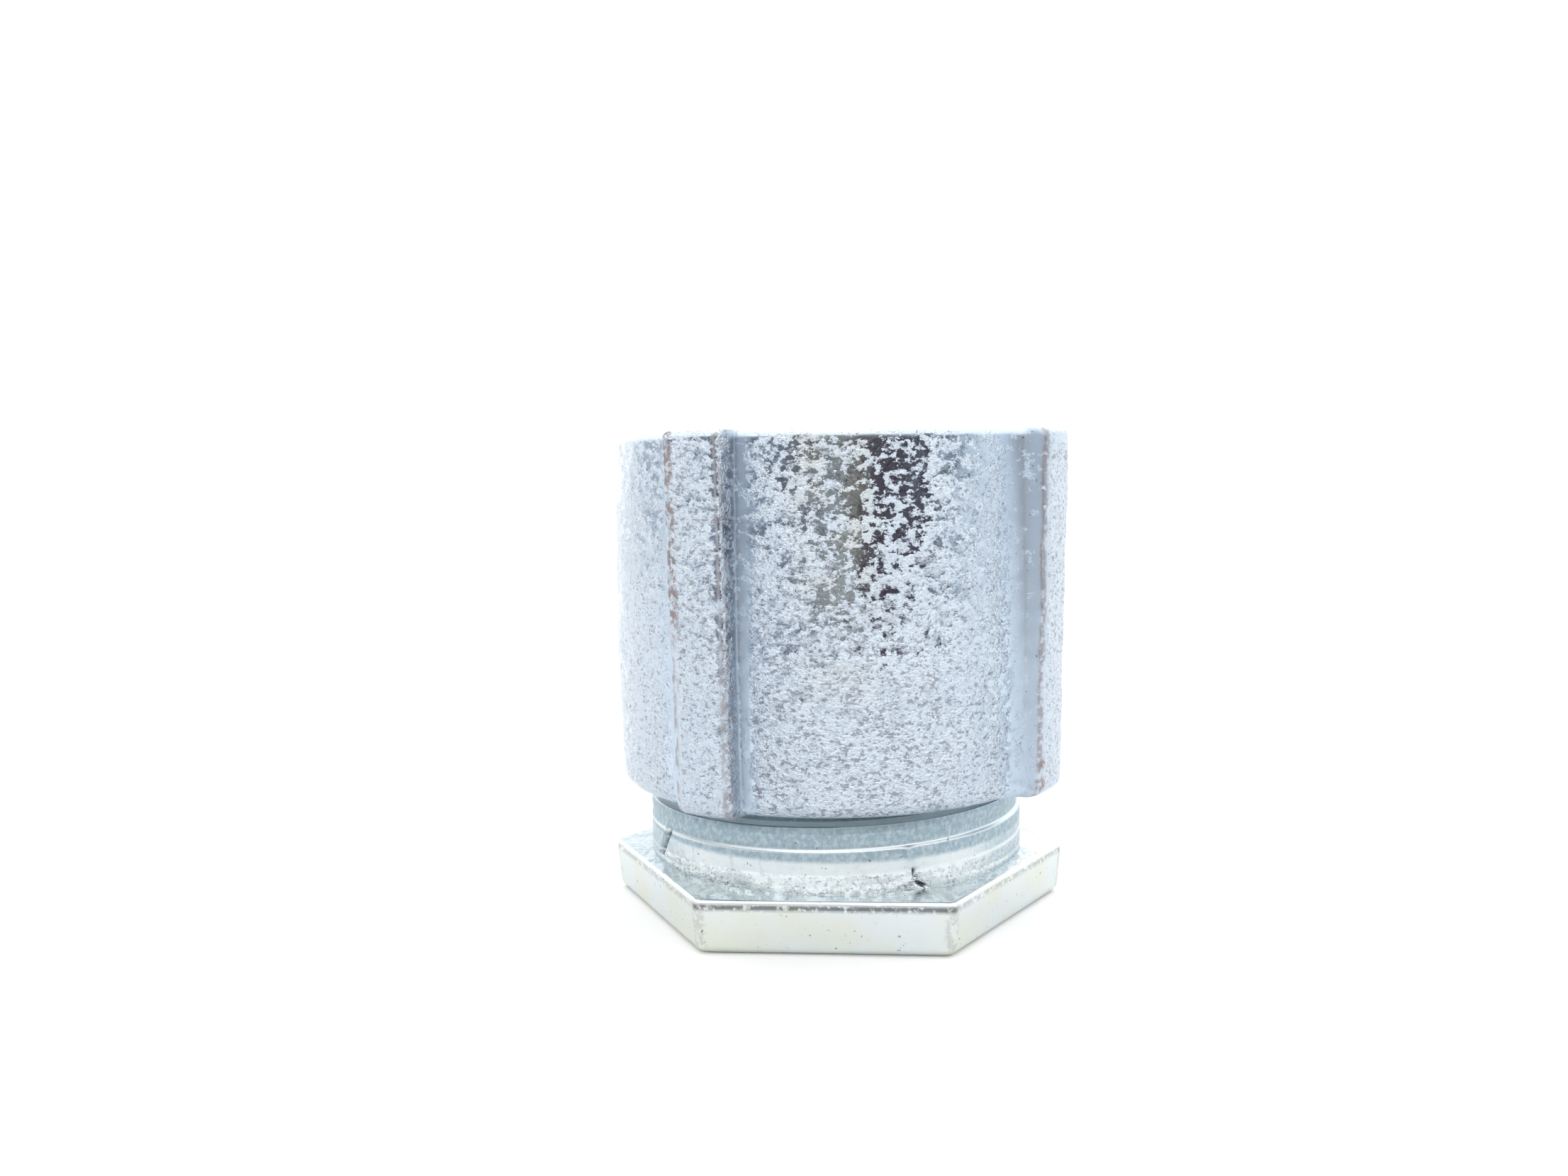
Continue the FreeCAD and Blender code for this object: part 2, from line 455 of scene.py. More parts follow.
def hex_stretch(rounds):
    """From the foot of the hexagon up its side to the edge of its top face."""
    draft = HEX_DRAFT / HEX_HEIGHT
    rim_z = HEX_HEIGHT - HEX_RIM_HEIGHT
    rim_inset = (HEX_RIM_HEIGHT - HEX_EDGE_ROUND) * HEX_RIM_SLOPE
    rim = arc(-rim_inset - HEX_EDGE_ROUND, HEX_HEIGHT - HEX_EDGE_ROUND, HEX_EDGE_ROUND, 8, 90, 7)
    foot = arc(-HEX_FOOT_ROUND, HEX_FOOT_ROUND, HEX_FOOT_ROUND, -90, -4, 7)
    side = run((0, HEX_FOOT_ROUND), (0, rim_z), 14)[1:]
    bevel = run((0, rim_z), rim[0], 5)[1:-1]
    outline = np.concatenate([foot, side, bevel, rim])
    inset = outline[:, 0] - np.maximum(rim_z - outline[:, 1], 0) * draft
    r = hex_radius(rounds[:, None], HEX_APOTHEM - SKIN + inset[None, :])
    z = np.tile(outline[:, 1], (len(rounds), 1))
    return Stretch(r, z)


def lumps_over(points, grain, seed):
    """Above 0 inside the clusters of sand grains, which cover more where `grain` is higher."""
    flat = points * (1.0, 1.0, 1.35)
    clusters = 0.35 * lattice_noise(flat, 1.9 * MM, seed) + 0.35 * lattice_noise(flat, 0.55 * MM, seed + 1)
    return clusters + 2.2 * grain - 1.0


def cast_relief(points, over, swell, lump, seed):
    """Slow swells of a casting, and its clusters of grains standing a little proud."""
    waves = lattice_noise(points, 3.1 * MM, seed) + 0.35 * lattice_noise(points, 1.4 * MM, seed + 1)
    grit = 0.35 * lattice_noise(points, 0.65 * MM, seed + 2)
    return waves * swell + (smoothstep(*CLUSTER_EDGE, over) - 0.5 + grit) * lump


def body_thread_stretch(rounds, per_pitch, low, high):
    """A part of the neck and thread, from its upper end down."""
    return helical(rounds, PITCH, per_pitch, low, high, body_thread_radius, THREAD_PHASE_Z, True)


def make_body():
    """The hexagon, flared neck and male thread, with the lower conduit's thread inside."""
    corners = [30 + 60 * i for i in range(6)]
    rounds = rounds_with_detail(0.9, corners, 3.0, 0.3)
    columns = len(rounds)
    stop_z = BODY_TOP - STOP_LENGTH
    hexagon = hex_stretch(rounds)
    stretches = [
        conduit_stretch(rounds, 0, stop_z),
        plain(run((STOP_R, stop_z), (STOP_R, BODY_TOP), 5), columns),
        plain(run((STOP_R + STOP_CHAMFER, BODY_TOP), (ROOT_R - 0.5 * MM, BODY_TOP), 6), columns),
        body_thread_stretch(rounds, 12, NECK_TOP_Z, BODY_TOP),
        body_thread_stretch(rounds, 24, NECK_FOOT_Z, NECK_TOP_Z),
        Stretch(hexagon.r[:, ::-1], hexagon.z[:, ::-1]),
        plain(run((17.0 * MM, 0), (CONDUIT_MAJOR_R + 0.6 * MM, 0), 8), columns),
    ]
    piece = turned_mesh("body_casting", rounds, stretches, shape_body)
    points = vertices_of(piece)
    r, around, z = polar(points)
    grain = body_grain(r, z)
    mark(piece, "grain", grain)
    mark(piece, "lump", lumps_over(points, grain, BODY_LUMPS))
    mark(piece, "brown", hex_edge_mask(r, around, z))
    # The dark attribute: darker nicks, and at 0.75 a painted dark reflection below the hexagon's rim
    mark(piece, "dark", np.maximum(nick_mask(points), 0.75 * hex_rim_reflection_mask(r, around, z)))
    mark(piece, "tint", 0.75 * (z < HEX_HEIGHT - 0.3 * MM) * (r > 18 * MM))
    # painted shade: the film darkens the neck under the ring and the sides of the flare and hexagon's top
    mark(piece, "film", body_film_and_shade(r, around, z))
    return piece


def body_film_and_shade(r, around, z):
    """Painted shade with the dull film: strong on the thread, where it stands for the ring's shadow, weaker
    on the flare and hexagon's top, least at the front, so the sides are painted darker.
    """
    neck = smoothstep(7.5 * MM, 8.1 * MM, z)
    flare = smoothstep(HEX_HEIGHT - 0.1 * MM, HEX_HEIGHT, z)
    # painted shade: the film grows towards the sides
    shade_to_sides = 0.18 + 0.52 * smoothstep(38, 62, np.abs(around))
    # painted highlight: the film is taken off along the ledges' edges
    film = np.maximum(0.95 * neck, shade_to_sides * flare) * (1 - 0.8 * ledge_highlight_mask(z, around))
    return film * (r > BODY_OUTSIDE_R)


def body_grain(r, z):
    """The flare and the hexagon's top are sandy, its sides fairly smooth, and the thread is smooth."""
    flare = 0.5 * smoothstep(8.0 * MM, 7.6 * MM, z) + 0.5 * smoothstep(6.9 * MM, 6.5 * MM, z)
    on_hexagon = z <= NECK_FOOT_Z + 0.05 * MM
    on_top = z > HEX_HEIGHT - 0.02 * MM
    on_faces = np.where(on_top, HEX_TOP_GRAIN, HEX_SIDE_GRAIN)
    grain = np.where(on_hexagon, on_faces, FLARE_GRAIN * flare)
    return grain * smoothstep(16.8 * MM, 17.2 * MM, r)


def near_hex_side(r, around):
    """1 on the sides of the hexagon and 0 well inside them."""
    return smoothstep(0.8 * MM, 0.4 * MM, hex_radius(around, HEX_APOTHEM) - r)


def hex_edge_mask(r, around, z):
    """Worn plating down the hexagon's corners."""
    corner = band(off_hex_corner(around), 0, 1.2, 1.0) * (z < HEX_HEIGHT)
    return 0.3 * near_hex_side(r, around) * corner


def hex_rim_reflection_mask(r, around, z):
    """A painted dark reflection: the band just below the bright rim of the hexagon, strongest on the front
    side.
    """
    below_rim = band(z, HEX_HEIGHT - 0.60 * MM, 0.12 * MM, 0.18 * MM)
    front = 1 - 0.5 * (np.abs(around) > 31)
    return below_rim * near_hex_side(r, around) * front


# Casting flaws on the neck, from one end to the other. A negative depth stands proud.
Nick = namedtuple("Nick", "start_round start_z end_round end_z half_width depth")
NICKS = [
    Nick(-54.6, 8.5 * MM, -61.4, 5.9 * MM, 0.22 * MM, 0.40 * MM),
    Nick(-56.6, 8.5 * MM, -63.4, 6.1 * MM, 0.30 * MM, -0.16 * MM),
    Nick(23.6, 8.4 * MM, 24.2, 7.9 * MM, 0.42 * MM, -0.25 * MM),
    Nick(25.3, 6.8 * MM, 25.6, 6.2 * MM, 0.20 * MM, 0.35 * MM),
    Nick(26.0, 5.7 * MM, 28.5, 5.3 * MM, 0.18 * MM, 0.35 * MM),
]


def nick_nearness(points, nick):
    """1 on a nick's line and near 0 beyond its half width, measured on the neck's surface."""
    r, around, z = polar(points)
    u, v = np.radians(around) * CREST_R, z
    u0, v0 = math.radians(nick.start_round) * CREST_R, nick.start_z
    u1, v1 = math.radians(nick.end_round) * CREST_R, nick.end_z
    length2 = (u1 - u0) ** 2 + (v1 - v0) ** 2
    t = np.clip(((u - u0) * (u1 - u0) + (v - v0) * (v1 - v0)) / length2, 0, 1)
    distance = np.hypot(u - u0 - t * (u1 - u0), v - v0 - t * (v1 - v0))
    return np.exp(-((distance / nick.half_width) ** 2)) * (r > BODY_OUTSIDE_R)


def nick_mask(points):
    """Darker colour along the nicks that are cut into the neck."""
    total = np.zeros(len(points))
    for nick in NICKS:
        if nick.depth > 0:
            total = np.maximum(total, nick_nearness(points, nick))
    return total


def shape_body(points):
    """Casting relief on the hexagon and flare, and the flaws on the neck."""
    r, _, z = polar(points)
    outer = smoothstep(16 * MM, 16.5 * MM, r)
    off_edges = smoothstep(0.1 * MM, 0.5 * MM, np.abs(z - HEX_HEIGHT)) * smoothstep(0.2 * MM, 0.8 * MM, z)
    cast = outer * off_edges * smoothstep(8.8 * MM, 8.0 * MM, z)
    lumps = lumps_over(points, body_grain(r, z), BODY_LUMPS)
    relief = cast_relief(points, lumps, 0.03 * MM, 0.03 * MM, BODY_SWELLS) * cast
    for nick in NICKS:
        relief -= nick.depth * nick_nearness(points, nick) * (z > HEX_HEIGHT - 0.1 * MM)
    return along_radius(points, relief)


# ---------------------------------------------------------------------------------------------
# Coupling ring
# ---------------------------------------------------------------------------------------------

# How far a lug has risen, from 0 to 1, against the distance from its flank in millimetres
SOFT_FLANK = ((-2.9, 0.0), (-2.1, 0.03), (-1.4, 0.09), (-0.8, 0.18), (-0.35, 0.30), (-0.12, 0.42),
              (0.0, 0.60), (0.10, 0.80), (0.25, 0.92), (0.50, 0.98), (0.9, 1.0))
CRISP_FLANK = ((-0.26, 0.0), (-0.12, 0.05), (-0.03, 0.25), (0.04, 0.60), (0.14, 0.85), (0.32, 0.96),
               (0.7, 1.0))


def flank_rise(profile, distance):
    """How far a lug has risen at some distance from its flank, positive on the lug."""
    at = [p[0] * MM for p in profile]
    rise = [p[1] for p in profile]
    return np.interp(distance, at, rise)


def lug_share(rounds, z):
    """1 on a lug and 0 on the panels between them."""
    share = np.zeros(np.broadcast(rounds, z).shape)
    for lug in LUG_ROUNDS:
        arc_length = np.radians(wrapped(rounds - lug)) * RING_R
        half = math.radians(LUG_WIDTH / 2) * RING_R
        soft_rise = flank_rise(SOFT_FLANK, arc_length + half)
        crisp_rise = flank_rise(CRISP_FLANK, half - arc_length)
        share = np.maximum(share, np.minimum(soft_rise, crisp_rise))
    return share


def ring_side_radius(rounds, z):
    """The outside of the ring before its edges are rounded."""
    up = (z - RING_LOW.z) / (RING_HIGH.z - RING_LOW.z)
    wall = RING_R + RING_BULGE * (1 - (2 * up - 1) ** 2)
    lug = LUG_BOTTOM_R + (LUG_TOP_R - LUG_BOTTOM_R) * up
    return wall + (lug - wall) * lug_share(rounds, z)


def ring_outer_stretch(rounds):
    """From the flat lower face, round the edge, up the side and round onto the top face."""
    low, high = RING_LOW.z, RING_HIGH.z
    foot = arc(-BOTTOM_ROUND, low + BOTTOM_ROUND, BOTTOM_ROUND, -90, -8, 7)
    side = run((0, low + BOTTOM_ROUND), (0, high - TOP_ROUND), 104)
    rim = arc(-TOP_ROUND, high - TOP_ROUND, TOP_ROUND, 10, 90, 6)
    outline = np.concatenate([foot, side, rim])
    z = np.tile(outline[:, 1], (len(rounds), 1))
    side_z = np.clip(z, low + BOTTOM_ROUND, high - TOP_ROUND)
    r = ring_side_radius(rounds[:, None], side_z) + outline[:, 0][None, :]
    return Stretch(r, z)


def make_ring():
    """The ring with its four lugs, its lip at the top, and the female thread above a plain relief."""
    flanks = [lug + side * LUG_WIDTH / 2 for lug in LUG_ROUNDS for side in (-1, 1)]
    rounds = rounds_with_detail(0.8, flanks, 1.4, 0.2)
    columns = len(rounds)
    low, high = RING_LOW.z, RING_HIGH.z
    lip_z = high - LIP_THICKNESS
    mouth_r = RELIEF_R + MOUTH_CHAMFER
    relief_z = low + RELIEF_LENGTH
    thread_z = low + RING_THREAD_LENGTH
    stretches = [
        ring_outer_stretch(rounds),
        plain(run((19.2 * MM, high), (LIP_R + LIP_CHAMFER, high), 5), columns),
        plain(run((LIP_R, high - LIP_CHAMFER), (LIP_R, lip_z), 5), columns),
        plain(run((LIP_R + LIP_CHAMFER, lip_z), (RING_BORE_R, lip_z), 3), columns),
        plain(run((RING_BORE_R, lip_z - MM), (RING_BORE_R, thread_z + MM), 6), columns),
        helical(rounds, PITCH, 8, relief_z, thread_z, ring_thread_radius, THREAD_PHASE_Z, True),
        plain([(RELIEF_R, relief_z - MM), (RELIEF_R, low + MOUTH_CHAMFER), (mouth_r, low)], columns),
    ]
    piece = turned_mesh("coupling_ring_casting", rounds, stretches, shape_ring)
    points = vertices_of(piece)
    r, around, z = polar(points)
    outside = np.maximum(smoothstep(19.3 * MM, 19.8 * MM, r), 0.8 * top_face_mask(z))
    grain = ring_grain(around, z) * outside
    mark(piece, "grain", grain)
    mark(piece, "lump", lumps_over(points, grain, RING_LUMPS))
    mark(piece, "film", ring_film(around, z))
    # The brown attribute: worn plating, and a painted dark reflection on the first lug
    mark(piece, "brown", ring_wear_and_reflection_mask(around, z, r))
    # The dark attribute: dirt with painted shade at the feet of the crisp flanks, and a broken dark line
    # below the rim
    mark(piece, "dark", ring_dark_mask(around, z, r))
    mark(piece, "tint", 0.8 * band(around, TINT_ROUND, 2, 12) * smoothstep(20 * MM, 30 * MM, z))
    return piece


def flank_distances(around):
    """Distances along the surface from the nearest soft and crisp flank, positive on the lug."""
    soft = np.full(around.shape, -1.0)
    crisp = np.full(around.shape, -1.0)
    for lug in LUG_ROUNDS:
        off = wrapped(around - lug)
        near = np.abs(off) < 45
        soft = np.where(near, np.radians(off + LUG_WIDTH / 2) * RING_R, soft)
        crisp = np.where(near, np.radians(LUG_WIDTH / 2 - off) * RING_R, crisp)
    return soft, crisp


def top_face_mask(z):
    """1 on the ring's top face and 0 just below it."""
    return smoothstep(0.06 * MM, 0.02 * MM, RING_HIGH.z - z)


def flank_mask(around, z, low, high):
    """1 where a lug's flank rises between its foot and its edge."""
    share = lug_share(around, z)
    return smoothstep(low, high, share) * smoothstep(1.0, 0.9, share)


def ring_grain(around, z):
    """How sandy the ring is: most on the lugs and the front and back, least beside the flanks."""
    soft, crisp = flank_distances(around)
    up = (z - RING_LOW.z) / (RING_HIGH.z - RING_LOW.z)
    from_middle = np.abs(around - SAND_ROUND)
    calm = smoothstep(18, 34, from_middle) * smoothstep(120, 100, from_middle)

    panel = np.minimum(smoothstep(-0.8 * MM, -3.0 * MM, soft) + (soft > 0), 1)
    panel = np.minimum(panel, smoothstep(-0.5 * MM, -2.2 * MM, crisp) + (crisp > 0))
    quiet = band(around, QUIET_ROUND, 3, 4) * smoothstep(0.30, 0.55, up)
    smooth_top = band(around, SMOOTH_ROUND, 6, 5) * smoothstep(0.35, 0.75, up)
    panel_grain = PANEL_GRAIN - 0.12 * quiet - 0.14 * smooth_top - 0.13 * calm
    on_panel = BESIDE_LUG_GRAIN + (panel_grain - BESIDE_LUG_GRAIN) * panel

    face = np.minimum(smoothstep(0.5 * MM, 1.3 * MM, soft), smoothstep(0.2 * MM, 0.9 * MM, crisp))
    low_calm = calm * smoothstep(0.55, 0.20, up)
    face_grain = LUG_FACE_GRAIN - 0.25 * low_calm
    on_lug = LUG_EDGE_GRAIN + (face_grain - LUG_EDGE_GRAIN) * face

    grain = np.where((soft > 0) & (crisp > 0), on_lug, on_panel)
    grain = grain + 0.15 * smoothstep(0.80, 0.05, up) * (grain > 0.3)
    grain = np.maximum(grain, FLANK_GRAIN * flank_mask(around, z, 0.05, 0.25) * (crisp < 0.5 * MM))
    down = RING_HIGH.z - z
    rim = smoothstep(1.0 * MM, 0.7 * MM, down) * smoothstep(0.02 * MM, 0.06 * MM, down)
    return grain * (1 - 0.25 * rim)


def ring_film(around, z):
    """The dull film on the strips beside the lugs and on the top face."""
    soft, crisp = flank_distances(around)
    beside = np.maximum(
        smoothstep(-3.6 * MM, -1.8 * MM, soft) * (soft < 0.2 * MM),
        smoothstep(-1.8 * MM, -0.7 * MM, crisp) * (crisp < -0.1 * MM),
    )
    return np.maximum(0.6 * beside, 0.7 * top_face_mask(z))


# Brown spots on the lugs, as (round, height, radius)
STAINS = [
    (57.5, RING_LOW.z + 3.0 * MM, 0.45 * MM),
    (57.2, RING_LOW.z + 1.2 * MM, 0.55 * MM),
    (-34.0, RING_LOW.z + 5.4 * MM, 0.30 * MM),
]


def ring_wear_and_reflection_mask(around, z, r):
    """Worn plating on the lugs' outer edges, on their crisp flanks and in a few spots, and a painted dark
    reflection down the upper soft edge of the first lug.
    """
    soft, crisp = flank_distances(around)
    outer = smoothstep(0.80, 0.95, lug_share(around, z))
    edge = outer * np.maximum(smoothstep(0.75 * MM, 0.35 * MM, crisp), smoothstep(0.9 * MM, 0.5 * MM, soft))
    flank = flank_mask(around, z, 0.15, 0.35) * (crisp < 0.5 * MM)
    # painted reflection: a dark brown band down the upper part of the first lug's soft edge
    left_edge_reflection = band(soft, 0.45 * MM, 0.6 * MM, 0.4 * MM) * smoothstep(26 * MM, 30 * MM, z)
    left_edge_reflection = left_edge_reflection * (np.abs(around - LUG_ROUNDS[0]) < LUG_WIDTH)
    total = np.maximum(np.maximum(0.75 * edge, 0.45 * flank), 1.7 * left_edge_reflection)
    for place, height, size in STAINS:
        away = np.hypot(np.radians(around - place) * RING_R, z - height)
        total = np.maximum(total, 1.2 * smoothstep(1.5 * size, 0.5 * size, away))
    return total * (r > RING_R - 0.3 * MM)


def ring_dark_mask(around, z, r):
    """Dirt with painted shade in the corner at the foot of each crisp flank, and a broken dark line below
    the upper rim.
    """
    soft, crisp = flank_distances(around)
    corner = band(crisp, -0.24 * MM, 0.04 * MM, 0.10 * MM)
    wander = 0.8 * np.sin(np.radians(around * 7)) + 0.6 * np.sin(np.radians(around * 17 + 50))
    below_rim = band(z, RING_HIGH.z - 0.80 * MM + 0.06 * MM * wander, 0.05 * MM, 0.11 * MM)
    below_rim = below_rim * (0.40 + 0.35 * wander) * (crisp < -1.0 * MM) * (soft < -2.5 * MM)
    return np.maximum(0.45 * corner, below_rim) * (r > 19.5 * MM)


def shape_ring(points):
    """Sand-cast relief on the outside, and worn, wavy edges."""
    r, around, z = polar(points)
    outside = smoothstep(18.9 * MM, 19.9 * MM, r)
    side = smoothstep(0, 1.0 * MM, z - RING_LOW.z) * smoothstep(0, 0.9 * MM, RING_HIGH.z - z)
    lumps = lumps_over(points, ring_grain(around, z), RING_LUMPS)
    relief = cast_relief(points, lumps, 0.06 * MM, 0.06 * MM, RING_SWELLS) * (0.3 + 0.7 * side)
    soft, crisp = flank_distances(around)
    near_edge = smoothstep(0.9 * MM, 0.3 * MM, np.minimum(np.abs(soft), np.abs(crisp)))
    near_edge = near_edge * smoothstep(0.5, 0.95, lug_share(around, z))
    worn = lattice_noise(points, 1.6 * MM, RING_WEAR) * 0.08 * MM
    worn = worn + lattice_noise(points, 0.7 * MM, RING_WEAR + 1) * 0.05 * MM
    return along_radius(points, (relief - SKIN + (worn - 0.06 * MM) * near_edge) * outside)


# ---------------------------------------------------------------------------------------------
# Gland
# ---------------------------------------------------------------------------------------------

def make_gland():
    """The hub under the ring's lip, with the upper conduit's thread inside."""
    rounds = np.arange(0, 360, 1.0)
    columns = len(rounds)
    low, high = GLAND_LOW.z, GLAND_HIGH.z
    stop_z = low + STOP_LENGTH
    flange_r = GLAND_FLANGE_R - GLAND_CHAMFER
    under_shoulder = SHOULDER_Z - GLAND_CHAMFER
    neck_end = high - GLAND_CHAMFER
    stretches = [
        plain(run((STOP_R, low), (flange_r, low), 8), columns),
        plain(run((GLAND_FLANGE_R, low + GLAND_CHAMFER), (GLAND_FLANGE_R, under_shoulder), 14), columns),
        plain(run((flange_r, SHOULDER_Z), (GLAND_NECK_R + SHOULDER_FILLET, SHOULDER_Z), 3), columns),
        plain(run((GLAND_NECK_R, SHOULDER_Z + SHOULDER_FILLET), (GLAND_NECK_R, neck_end), 12), columns),
        plain(run((GLAND_NECK_R - GLAND_CHAMFER, high), (CONDUIT_MAJOR_R + 0.5 * MM, high), 4), columns),
        conduit_stretch(rounds, high, stop_z),
        plain(run((STOP_R + STOP_CHAMFER, stop_z), (STOP_R, stop_z - STOP_CHAMFER), 2), columns),
    ]
    piece = turned_mesh("gland_casting", rounds, stretches, shape_gland)
    points = vertices_of(piece)
    r, _, z = polar(points)
    mark(piece, "grain", GLAND_GRAIN * smoothstep(14.6 * MM, GLAND_OUTSIDE_R, r))
    top_edge = smoothstep(0.6 * MM, 0.1 * MM, high - z) * smoothstep(14.2 * MM, 14.8 * MM, r)
    mark(piece, "brown", 0.5 * top_edge)
    mark(piece, "dark", np.zeros(len(r)))
    mark(piece, "tint", np.full(len(r), 0.4))
    mark(piece, "film", np.full(len(r), 0.3))
    mark(piece, "lump", lumps_over(points, np.full(len(r), 0.2), GLAND_LUMPS))
    return piece


def shape_gland(points):
    """Slight waves on the outside, which was turned."""
    r = np.hypot(points[:, 0], points[:, 1])
    waves = lattice_noise(points, 2.0 * MM, GLAND_LUMPS) * 0.02 * MM
    relief = waves * smoothstep(14.4 * MM, GLAND_OUTSIDE_R, r)
    return along_radius(points, relief - 0.02 * MM)


# ---------------------------------------------------------------------------------------------
# Materials
# ---------------------------------------------------------------------------------------------

class Nodes:
    """Shorthand for making and joining a material's nodes."""

    def __init__(self, material):
        material.use_nodes = True
        self.tree = material.node_tree
        self.tree.nodes.clear()

    def add(self, kind, **inputs):
        node = self.tree.nodes.new(kind)
        for name, value in inputs.items():
            self.put(node, name.replace("_", " "), value)
        return node

    def put(self, node, socket, value):
        if isinstance(value, bpy.types.NodeSocket):
            self.tree.links.new(value, node.inputs[socket])
        else:
            node.inputs[socket].default_value = value

    def math(self, operation, a, b):
        node = self.tree.nodes.new("ShaderNodeMath")
        node.operation = operation
        for index, value in enumerate((a, b)):
            self.put(node, index, value)
        return node.outputs[0]

    def mapped(self, value, low, high, to_low=0.0, to_high=1.0):
        """A smooth step from `to_low` where the value is `low` to `to_high` where it is `high`."""
        node = self.tree.nodes.new("ShaderNodeMapRange")
        node.interpolation_type = "SMOOTHSTEP"
        node.inputs["From Min"].default_value = low
        node.inputs["From Max"].default_value = high
        node.inputs["To Min"].default_value = to_low
        node.inputs["To Max"].default_value = to_high
        self.put(node, "Value", value)
        return node.outputs[0]

    def mixed(self, share, a, b):
        """Colour `a` at share 0 and colour `b` at share 1."""
        node = self.tree.nodes.new("ShaderNodeMix")
        node.data_type = "RGBA"
        self.put(node, 0, share)
        self.put(node, 6, a)
        self.put(node, 7, b)
        return node.outputs[2]

    def attribute(self, name):
        node = self.tree.nodes.new("ShaderNodeAttribute")
        node.attribute_name = name
        return node.outputs["Fac"]

    def noise(self, place, size, detail, stretch, roughness):
        """Noise about `size` across. A stretch above 1 makes its features that much flatter."""
        mapping = self.tree.nodes.new("ShaderNodeMapping")
        mapping.inputs["Scale"].default_value = (1 / size, 1 / size, stretch / size)
        self.put(mapping, "Vector", place)
        node = self.tree.nodes.new("ShaderNodeTexNoise")
        node.inputs["Scale"].default_value = 1.0
        node.inputs["Detail"].default_value = detail
        node.inputs["Roughness"].default_value = roughness
        self.put(node, "Vector", mapping.outputs[0])
        return node.outputs["Fac"]


# What sets the zinc of one piece apart. `shift` shows it another part of the same noise.
Look = namedtuple("Look", "bright grain_colour tint film relief shift")

# Sizes of the noise that the zinc is made of
CLUSTER_SIZE = 0.78 * MM
GRIT_SIZE = 0.33 * MM
PIT_SIZE = 0.70 * MM
DEPTH_SIZE = 1.6 * MM
SPECK_SIZE = 0.42 * MM
CLOUD_SIZE = 0.40 * MM
TINT_SIZE = 5.0 * MM
BROWN_BREAKUP_SIZE = 0.7 * MM
DARK_BREAKUP_SIZE = 0.5 * MM

# painted shade for pits and crevices, partly duller plating, also used for fine dark specks
RECESS_SHADE_COLOUR = (0.15, 0.15, 0.18, 1)
# worn plating, and also a painted dark reflection beside the first lug
WEAR_AND_REFLECTION_COLOUR = (0.27, 0.23, 0.23, 1)
# dirt together with painted shade and a painted dark reflection, laid on by the dark attribute
DIRT_AND_SHADE_COLOUR = (0.06, 0.065, 0.085, 1)


def shifted_place(n, shift):
    """Coordinates that ride with the piece, moved by a shift."""
    moved = n.tree.nodes.new("ShaderNodeVectorMath")
    moved.operation = "ADD"
    n.put(moved, 0, n.tree.nodes.new("ShaderNodeTexCoord").outputs["Object"])
    moved.inputs[1].default_value = shift
    return moved.outputs[0]


def cluster_mask(n, place):
    """1 on the clusters of light grains and 0 on the smooth ground between them."""
    clusters = n.math("SUBTRACT", n.noise(place, CLUSTER_SIZE, 5.0, 1.35, 0.66), 0.5)
    over = n.math("ADD", n.attribute("lump"), n.math("MULTIPLY", clusters, 5.0))
    return n.mapped(over, *CLUSTER_EDGE)


def pit_mask(n, place, grain, sandy):
    """The larger pits of the sandy places."""
    hollows = n.math("ADD", n.noise(place, PIT_SIZE, 4.0, 1.8, 0.65), n.math("MULTIPLY", grain, 0.30))
    return n.math("MULTIPLY", n.mapped(hollows, 0.73, 0.83), sandy)


def recess_shade_mask(n, place, grit, pits, sandy):
    """Painted shade in the pits and in the crevices between the grains, partly duller plating there, and
    fine dark specks.
    """
    deep = n.mapped(n.noise(place, DEPTH_SIZE, 3.0, 1.3, 0.6), 0.40, 0.58, 0.25, 1.1)
    crevice_shade = n.math("MULTIPLY", n.mapped(grit, -0.03, -0.14), n.math("MULTIPLY", sandy, deep))
    specks = n.mapped(n.noise(place, SPECK_SIZE, 2.0, 1.0, 0.5), 0.69, 0.75, 0.0, 0.75)
    recess_shade = n.math("MAXIMUM", n.math("MULTIPLY", pits, 0.60), n.math("MULTIPLY", crevice_shade, 0.62))
    return n.math("MAXIMUM", recess_shade, specks)


def zinc_colour(n, place, look, mask, recess_shade, worn):
    """Ground and grains, then film with painted shade and tint, then painted shade in recesses, worn places
    with a painted reflection, and dirt with painted shade over them.
    """
    clouds = n.mapped(n.noise(place, CLOUD_SIZE, 4.0, 0.8, 0.65), 0.30, 0.62, 0.60, 1.0)
    patches = n.mapped(n.noise(place, TINT_SIZE, 3.0, 1.0, 0.5), 0.38, 0.66)
    dark_breakup = n.mapped(n.noise(place, DARK_BREAKUP_SIZE, 3.0, 1.0, 0.6), 0.34, 0.52)
    colour = n.mixed(mask, look.bright, look.grain_colour)
    # the film, which on the body is painted shade
    colour = n.mixed(n.math("MULTIPLY", n.attribute("film"), clouds), colour, look.film)
    colour = n.mixed(n.math("MULTIPLY", patches, n.attribute("tint")), colour, look.tint)
    # painted shade in the pits and crevices, with the fine dark specks
    colour = n.mixed(recess_shade, colour, RECESS_SHADE_COLOUR)
    colour = n.mixed(worn, colour, WEAR_AND_REFLECTION_COLOUR)
    # dirt, painted shade and a painted dark reflection, where the dark attribute is high
    return n.mixed(n.math("MULTIPLY", n.attribute("dark"), dark_breakup), colour, DIRT_AND_SHADE_COLOUR)


